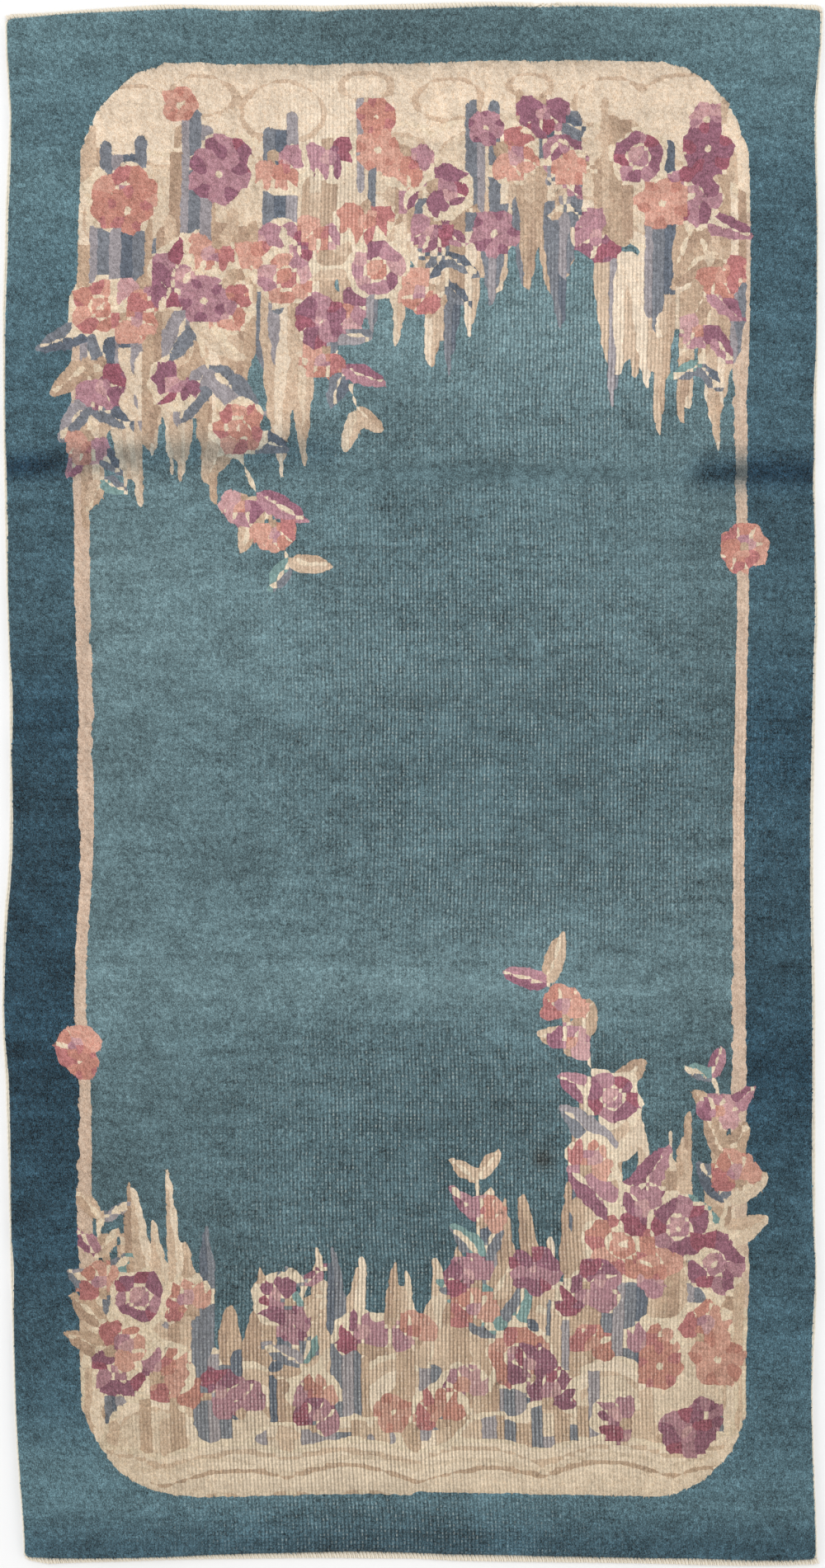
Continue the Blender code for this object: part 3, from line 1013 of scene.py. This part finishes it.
def makeBack():
    # the flat woven foundation under the pile, with the backs of the knots
    piece = newPiece("rugBack", knotGrid(back["columns"], back["rows"], (1,)), wovenBack())
    data = piece.data
    spots = readRows(data.vertices, "co")
    addKnotMap(data, spots)
    dyeFaces(data)
    x, y = onRug(*roundCorners(spots[:, 0], spots[:, 1], pile["corner"]))
    data.vertices.foreach_set("co", np.column_stack((x, y, spots[:, 2] * back["height"])).ravel())
    data.flip_normals()
    data.update()
    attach(piece, "root")
    return piece


rugPile = makePile()
print("pile made")
rugBack = makeBack()
print("back made")


# the overcast edges
edging = {
    "cordRadius": 1.25 * mm,
    "wrapPitch": 3.0 * mm,
    "cords": ((1.0, 1.22), (2.7, 1.52)),  # each selvedge cord's way in and up, in radii
    "cordLift": (0.93, 1.07),
    "readHeight": 1.5 * mm,
    "cordSides": 8,
    "cordClear": 0.5 * mm,
    "stitchPitch": 4.37 * mm,
    "yarnRadius": 1.10 * mm,
    "yarnSides": 6,
    "coreSides": 10,
    "coreHalf": 1.2 * mm,
    "coreHeight": 1.5 * mm,
    "bindingClear": 0.6 * mm,
    "looseEnds": 9,
}
stitch = (
    # share of the way from the pile to the rim, millimetres up, thickness
    (-0.06, 2.0, 0.8), (0.06, 3.5, 1.08), (0.26, 4.0, 1.0), (0.5, 3.7, 0.95), (0.74, 3.1, 0.92),
    (0.90, 2.2, 0.85), (0.955, 1.1, 0.6),
)
strands = ((0.0, 1.0, 0.0), (0.48, 0.72, 0.35))  # a stitch's two yarns: slip, thickness, fall


def rolledTube(mesh, points, radii, sides):
    # a grid rolled up round a path; the seam is welded and the ends are closed afterwards
    before = len(mesh.verts)
    rings = len(points)
    bmesh.ops.create_grid(mesh, x_segments=sides, y_segments=rings - 1, size=0.5)
    mesh.verts.ensure_lookup_table()
    points = np.asarray(points)
    ways = np.gradient(points, axis=0)
    ways /= np.linalg.norm(ways, axis=1)[:, None]
    across = np.cross(ways, (0, 0, 1.0))
    upright = np.linalg.norm(across, axis=1) < 0.2
    across[upright] = np.cross(ways[upright], (1.0, 0, 0))
    for k in range(1, rings):
        if across[k] @ across[k - 1] < 0:
            across[k] = -across[k]
    across /= np.linalg.norm(across, axis=1)[:, None]
    up = np.cross(across, ways)
    layer = mesh.loops.layers.uv.get("yarn") or mesh.loops.layers.uv.new("yarn")
    steps = np.concatenate(([0], np.cumsum(np.linalg.norm(np.diff(points, axis=0), axis=1)))) / mm
    for vertex in mesh.verts[before:]:
        share, k = vertex.co.x + 0.5, int(round((vertex.co.y + 0.5) * (rings - 1)))
        for loop in vertex.link_loops:
            loop[layer].uv = (share, steps[k] * 0.1)
        turn = math.tau * share
        out = across[k] * math.cos(turn) + up[k] * math.sin(turn)
        vertex.co = points[k] + out * radii(share, k)


def finishTubes(name, mesh, material):
    bmesh.ops.remove_doubles(mesh, verts=mesh.verts, dist=1e-6)
    bmesh.ops.holes_fill(mesh, edges=[edge for edge in mesh.edges if edge.is_boundary], sides=0)
    bmesh.ops.recalc_face_normals(mesh, faces=mesh.faces)
    piece = newPiece(name, mesh, material)
    piece.data.shade_smooth()
    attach(piece, "root")
    return piece


selvedgeYarn = creamYarn("selvedgeYarn", (0.96, 0.89, 0.75), 1.6)
bindingYarn = creamYarn("bindingYarn", (0.94, 0.86, 0.72), 1.2)


def makeSelvedge(name, side, node, seed):
    low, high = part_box(node)
    clear, radius = edging["cordClear"], edging["cordRadius"]
    height = edging["readHeight"]
    rows, outer = sideLine(treeOf(node), side, low.y + clear, high.y - clear, height)
    mesh = bmesh.new()
    count = int((high.y - low.y - 2 * mm) / (edging["wrapPitch"] / 3))
    y = np.linspace(low.y + 1 * mm, high.y - 1 * mm, count)
    rng = np.random.default_rng(seed)
    for cord, (inward, up) in enumerate(edging["cords"]):
        x = np.interp(y, rows, outer) - side * radius * inward
        z = np.full(count, radius * up) + 0.15 * mm * np.sin(y * 90 + cord)
        x = x + 0.12 * mm * np.sin(y * 160 + cord * 2)
        lift = rng.uniform(*edging["cordLift"], count)

        def radii(share, k):
            wrap = abs(math.sin(math.pi * (k / 3 + share)))
            return radius * (0.90 + 0.12 * wrap) * lift[k - k % 3]

        rolledTube(mesh, np.column_stack((x, y, z)), radii, edging["cordSides"])
    piece = finishTubes(name, mesh, selvedgeYarn)
    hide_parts(node)
    return piece


def makeBinding(name, end, node, seed, jumble=None):
    # the turned-in warp ends as a low core, and the overcasting stitch by stitch
    low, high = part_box(node)
    tree, clear = treeOf(node), edging["bindingClear"]
    span = (low.x + clear, high.x - clear, 2 * clear)
    rimLine = endLine(tree, end, *span)
    pileLine = wallLine(tree, 1, end * 0.8, end, *span)
    rng = np.random.default_rng(seed)
    mesh = bmesh.new()
    x = np.linspace(low.x + 1.5 * mm, high.x - 1.5 * mm, 220)
    inner, rim = np.interp(x, *pileLine), np.interp(x, *rimLine)
    half = np.clip(np.abs(rim - inner) * 0.42, 1.3 * mm, 4 * mm)

    def coreRadius(share, k):
        # a flat oval section
        turn = math.tau * share
        flat = edging["coreHalf"]
        return half[k] * flat / math.hypot(flat * math.cos(turn), half[k] * math.sin(turn))

    core = np.column_stack((x, inner + (rim - inner) * 0.45, np.full(len(x), edging["coreHeight"])))
    rolledTube(mesh, core, coreRadius, edging["coreSides"])
    radius = edging["yarnRadius"]
    count = int((high.x - low.x - 3 * mm) / edging["stitchPitch"])
    width = (high.x - low.x - 3 * mm) / count
    for k in range(count):
        start = low.x + 1.5 * mm + (k + 0.5) * width + rng.normal(0, 0.22 * mm)
        if jumble and jumble[0] < start < jumble[1]:
            continue
        pileY, rimY = np.interp(start, *pileLine), np.interp(start, *rimLine)
        lean = width * (0.55 + rng.normal(0, 0.10)) * (-end)
        thick = radius * rng.uniform(0.92, 1.1)
        for slip, slim, fall in strands:
            path = [(start + slip * width + lean * (t + fall * 0.5),
                     pileY + (rimY - pileY) * t,
                     (up - fall * 1.2) * mm) for t, up, _ in stitch]
            path[0] = (*path[0][:2], 1.6 * mm)
            rolledTube(mesh, path, lambda share, n: thick * slim * stitch[n][2],
                       edging["yarnSides"])
    if jumble:
        # loose yarn where two lengths of overcasting meet
        for k in range(edging["looseEnds"]):
            at = rng.uniform(*jumble)
            pileY, rimY = np.interp(at, *pileLine), np.interp(at, *rimLine)
            heading = rng.uniform(-1, 1)
            path = [(at + heading * (t - 0.5) * 16 * mm + 1.6 * mm * math.sin(5 * t + k),
                     pileY + (rimY - pileY) * (0.48 + 0.40 * math.sin(3.4 * t + k * 1.3)),
                     (2.4 + 1.5 * math.sin(math.pi * t)) * mm)
                    for t in (n / 6 for n in range(7))]
            rolledTube(mesh, path, lambda share, n: radius * 0.68 * (0.7 if n in (0, 6) else 1.0),
                       edging["yarnSides"])
    piece = finishTubes(name, mesh, bindingYarn)
    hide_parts(node)
    return piece


leftSelvedge = makeSelvedge("leftSelvedge", -1, "selvedge_left", 5)
rightSelvedge = makeSelvedge("rightSelvedge", 1, "selvedge_right", 6)
print("selvedges wrapped")
topBinding = makeBinding("topBinding", 1, "end_binding_top", 41, jumble=(0.140, 0.168))
bottomBinding = makeBinding("bottomBinding", -1, "end_binding_bottom", 43)
print("ends overcast")


# the nap: short locks of wool over the knots
nap = {
    "borderNap": {"area": 0, "locks": 41000, "tones": 0.24},
    "fieldNap": {"area": 1, "locks": 49000, "tones": 0.17},
    "flowerNap": {"area": 2, "locks": 49000, "tones": 0.06},
    "radius": 1.2 * mm,
    "length": 5.0 * mm,
    "sunk": 1.4 * mm,
    "lowest": 7.0 * mm,
    "upward": 0.3,  # the steepest wool that bears nap
    "thick": (0.7, 1.3),
    "tall": (0.7, 1.25),
    "across": (-0.55, 0.55),  # how far the locks lean each way, beside the next two
    "along": (-1.3, -0.5),
    "up": 0.50,
    "outward": 0.35,
}


def napWool(name, share):
    finish = Finish(name, roughness=0.95, sheen=0.10)
    colour = finish.yarnColour()
    total, fibre = woolLevel(finish, finish.places(), grainOn(finish, colour) * share)[:2]
    # painted shade: each lock darker at its root, down in the pile, and lighter at its tip
    depthShade = 0.98 + finish.attribute("tip") * 0.12
    finish.colour(finish.shade(colour, depthShade * finish.attribute("tone") * total))
    finish.bump(fibre, 0.0006, 0.5)
    return finish.material


def combTree(name, settings, material, seed):
    tree = bpy.data.node_groups.new(name, "GeometryNodeTree")
    tree.interface.new_socket("Geometry", in_out="INPUT", socket_type="NodeSocketGeometry")
    tree.interface.new_socket("Geometry", in_out="OUTPUT", socket_type="NodeSocketGeometry")
    start, end = tree.nodes.new("NodeGroupInput"), tree.nodes.new("NodeGroupOutput")

    def make(kind, options=None, inputs=None):
        return addNode(tree, kind, options, inputs)

    def number(label):
        node = make("GeometryNodeInputNamedAttribute", {"data_type": "FLOAT"}, {"Name": label})
        return Wire(tree, node.outputs[0])

    def chance(limits, salt):
        inputs = {"Min": limits[0], "Max": limits[1], "Seed": seed + salt}
        node = make("FunctionNodeRandomValue", {"data_type": "FLOAT"}, inputs)
        return Wire(tree, [s for s in node.outputs if s.enabled][0])

    def keep(geometry, label, domain, value):
        options = {"data_type": "FLOAT", "domain": domain}
        inputs = {"Geometry": geometry, "Name": label, "Value": value}
        return make("GeometryNodeStoreNamedAttribute", options, inputs)

    normal = make("ShaderNodeSeparateXYZ", {}, {0: make("GeometryNodeInputNormal")})
    place = make("ShaderNodeSeparateXYZ", {}, {0: make("GeometryNodeInputPosition")})
    wear = number("wear")
    here = 1 - ((number("area") - settings["area"]).size() > 0.5)
    upward = Wire(tree, normal.outputs[2]) > nap["upward"]
    chosen = here * upward * (Wire(tree, place.outputs[2]) > nap["lowest"])
    parted = make("GeometryNodeSeparateGeometry", {"domain": "FACE"},
                  {"Geometry": start, "Selection": chosen})
    density = (1 - wear * 1.3).clipped() * (settings["locks"] / settings["ground"])
    scatter = make("GeometryNodeDistributePointsOnFaces", {"distribute_method": "RANDOM"},
                   {"Mesh": parted, "Density": density, "Seed": seed})
    # locks lean down the rug, and a little towards its right on the left side
    sideways = Wire(tree, place.outputs[0]) * -0.75 + 0.12 + chance(nap["across"], 1)
    way = make("ShaderNodeCombineXYZ", {}, {0: sideways, 1: chance(nap["along"], 2), 2: nap["up"]})
    outward = make("ShaderNodeVectorMath", {"operation": "SCALE"},
                   {0: scatter.outputs["Normal"], "Scale": nap["outward"]})
    lean = make("ShaderNodeVectorMath", {"operation": "ADD"}, {0: way, 1: outward})
    turn = make("FunctionNodeAlignRotationToVector", {"axis": "Z"}, {"Vector": lean})
    lock = make("GeometryNodeMeshCone", {"fill_type": "NGON"}, {
        "Vertices": 3, "Side Segments": 1, "Fill Segments": 1,
        "Radius Top": 0.0, "Radius Bottom": nap["radius"], "Depth": nap["length"]})
    tipped = keep(lock.outputs["Mesh"], "tip", "POINT", lock.outputs["Top"])
    inputs = {"Geometry": tipped, "Translation": (0, 0, -nap["sunk"])}
    sunk = make("GeometryNodeTransform", {}, inputs)
    wide = chance(nap["thick"], 3)
    tall = chance(nap["tall"], 4) * (1 - wear * 0.55)
    size = make("ShaderNodeCombineXYZ", {}, {0: wide, 1: wide, 2: tall})
    placed = make("GeometryNodeInstanceOnPoints", {}, {
        "Points": scatter.outputs["Points"], "Instance": sunk,
        "Rotation": turn, "Scale": size})
    tones = (1 - settings["tones"], 1 + settings["tones"])
    toned = keep(placed, "tone", "INSTANCE", chance(tones, 5))
    solid = make("GeometryNodeRealizeInstances", {}, {"Geometry": toned})
    clothed = make("GeometryNodeSetMaterial", {}, {"Geometry": solid, "Material": material})
    feed(tree, end.inputs[0], clothed)
    return tree


def makeNap(name, material, seed):
    settings = nap[name]
    # square metres of that area's knots, so that its nap keeps its number of locks
    share = np.count_nonzero(np.minimum(chart, 2) == settings["area"]) / chart.size
    settings["ground"] = share * rug["chartWidth"] * mm * rug["chartLength"] * mm
    piece = rugPile.copy()
    piece.name = name
    piece.data = rugPile.data.copy()
    for key in [k for k in piece.keys() if k.startswith("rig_")]:
        del piece[key]
    scene.collection.objects.link(piece)
    tree = combTree(name, settings, material, seed)
    piece.modifiers.new("comb", "NODES").node_group = tree
    bpy.context.view_layer.update()
    combed = piece.evaluated_get(bpy.context.evaluated_depsgraph_get())
    made = bpy.data.meshes.new_from_object(combed)
    piece.modifiers.clear()
    piece.data = made
    made.name = name
    made.materials.clear()
    made.materials.append(material)
    made.shade_flat()
    bpy.data.node_groups.remove(tree)
    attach(piece, "root")
    print(name, "combed")
    return piece


groundWool, flowerWool = napWool("groundWool", 1.0), napWool("flowerWool", 0.5)
naps = [
    makeNap("borderNap", groundWool, 100),
    makeNap("fieldNap", groundWool, 110),
    makeNap("flowerNap", flowerWool, 120),
]


# floor, light and camera
studio = {
    "floor": (0.93, 0.93, 0.93, 1),
    "floorHalf": 6,
    # lamp, place, share of the power
    "lamps": (
        ("leftLamp", (-2.6, 1.2, 3.2), 1.0),
        ("rightLamp", (2.6, 0.6, 3.2), 0.7),
        ("topLamp", (0, 3.0, 3.0), 0.5),
    ),
    "lampPower": 30.0,
    "lampSize": 3.0,
    "sky": 0.85,
    "cameraHeight": 4.0,
    "sensor": 36,
    "shownLength": 1.768,  # at the height of the pile
    "pileHeight": 0.010,
}


def addLoose(name, data):
    # a lamp or a camera
    piece = bpy.data.objects.new(name, data)
    scene.collection.objects.link(piece)
    return piece


def makeStudio():
    mesh = bmesh.new()
    bmesh.ops.create_grid(mesh, x_segments=1, y_segments=1, size=studio["floorHalf"])
    paper = Finish("paperFloor", roughness=0.9)
    paper.colour(studio["floor"])
    floor = newPiece("floor", mesh, paper.material)
    for name, spot, share in studio["lamps"]:
        data = bpy.data.lights.new(name, "AREA")
        data.size = studio["lampSize"]
        data.energy = studio["lampPower"] * share
        lamp = addLoose(name, data)
        lamp.location = spot
        lamp.rotation_euler = (-Vector(spot)).to_track_quat("-Z", "Y").to_euler()
    world = bpy.data.worlds.new("studioSky")
    world.use_nodes = True
    world.node_tree.nodes["Background"].inputs[0].default_value = (1, 1, 1, 1)
    world.node_tree.nodes["Background"].inputs[1].default_value = studio["sky"]
    scene.world = world
    data = bpy.data.cameras.new("overhead")
    data.sensor_width = studio["sensor"]
    above = studio["cameraHeight"] - studio["pileHeight"]
    data.lens = studio["sensor"] * above / studio["shownLength"]
    data.clip_end = 50
    camera = addLoose("overhead", data)
    camera.location = (0, 0, studio["cameraHeight"])
    scene.camera = camera
    scene.view_settings.view_transform = "Standard"


makeStudio()
print("studio set")
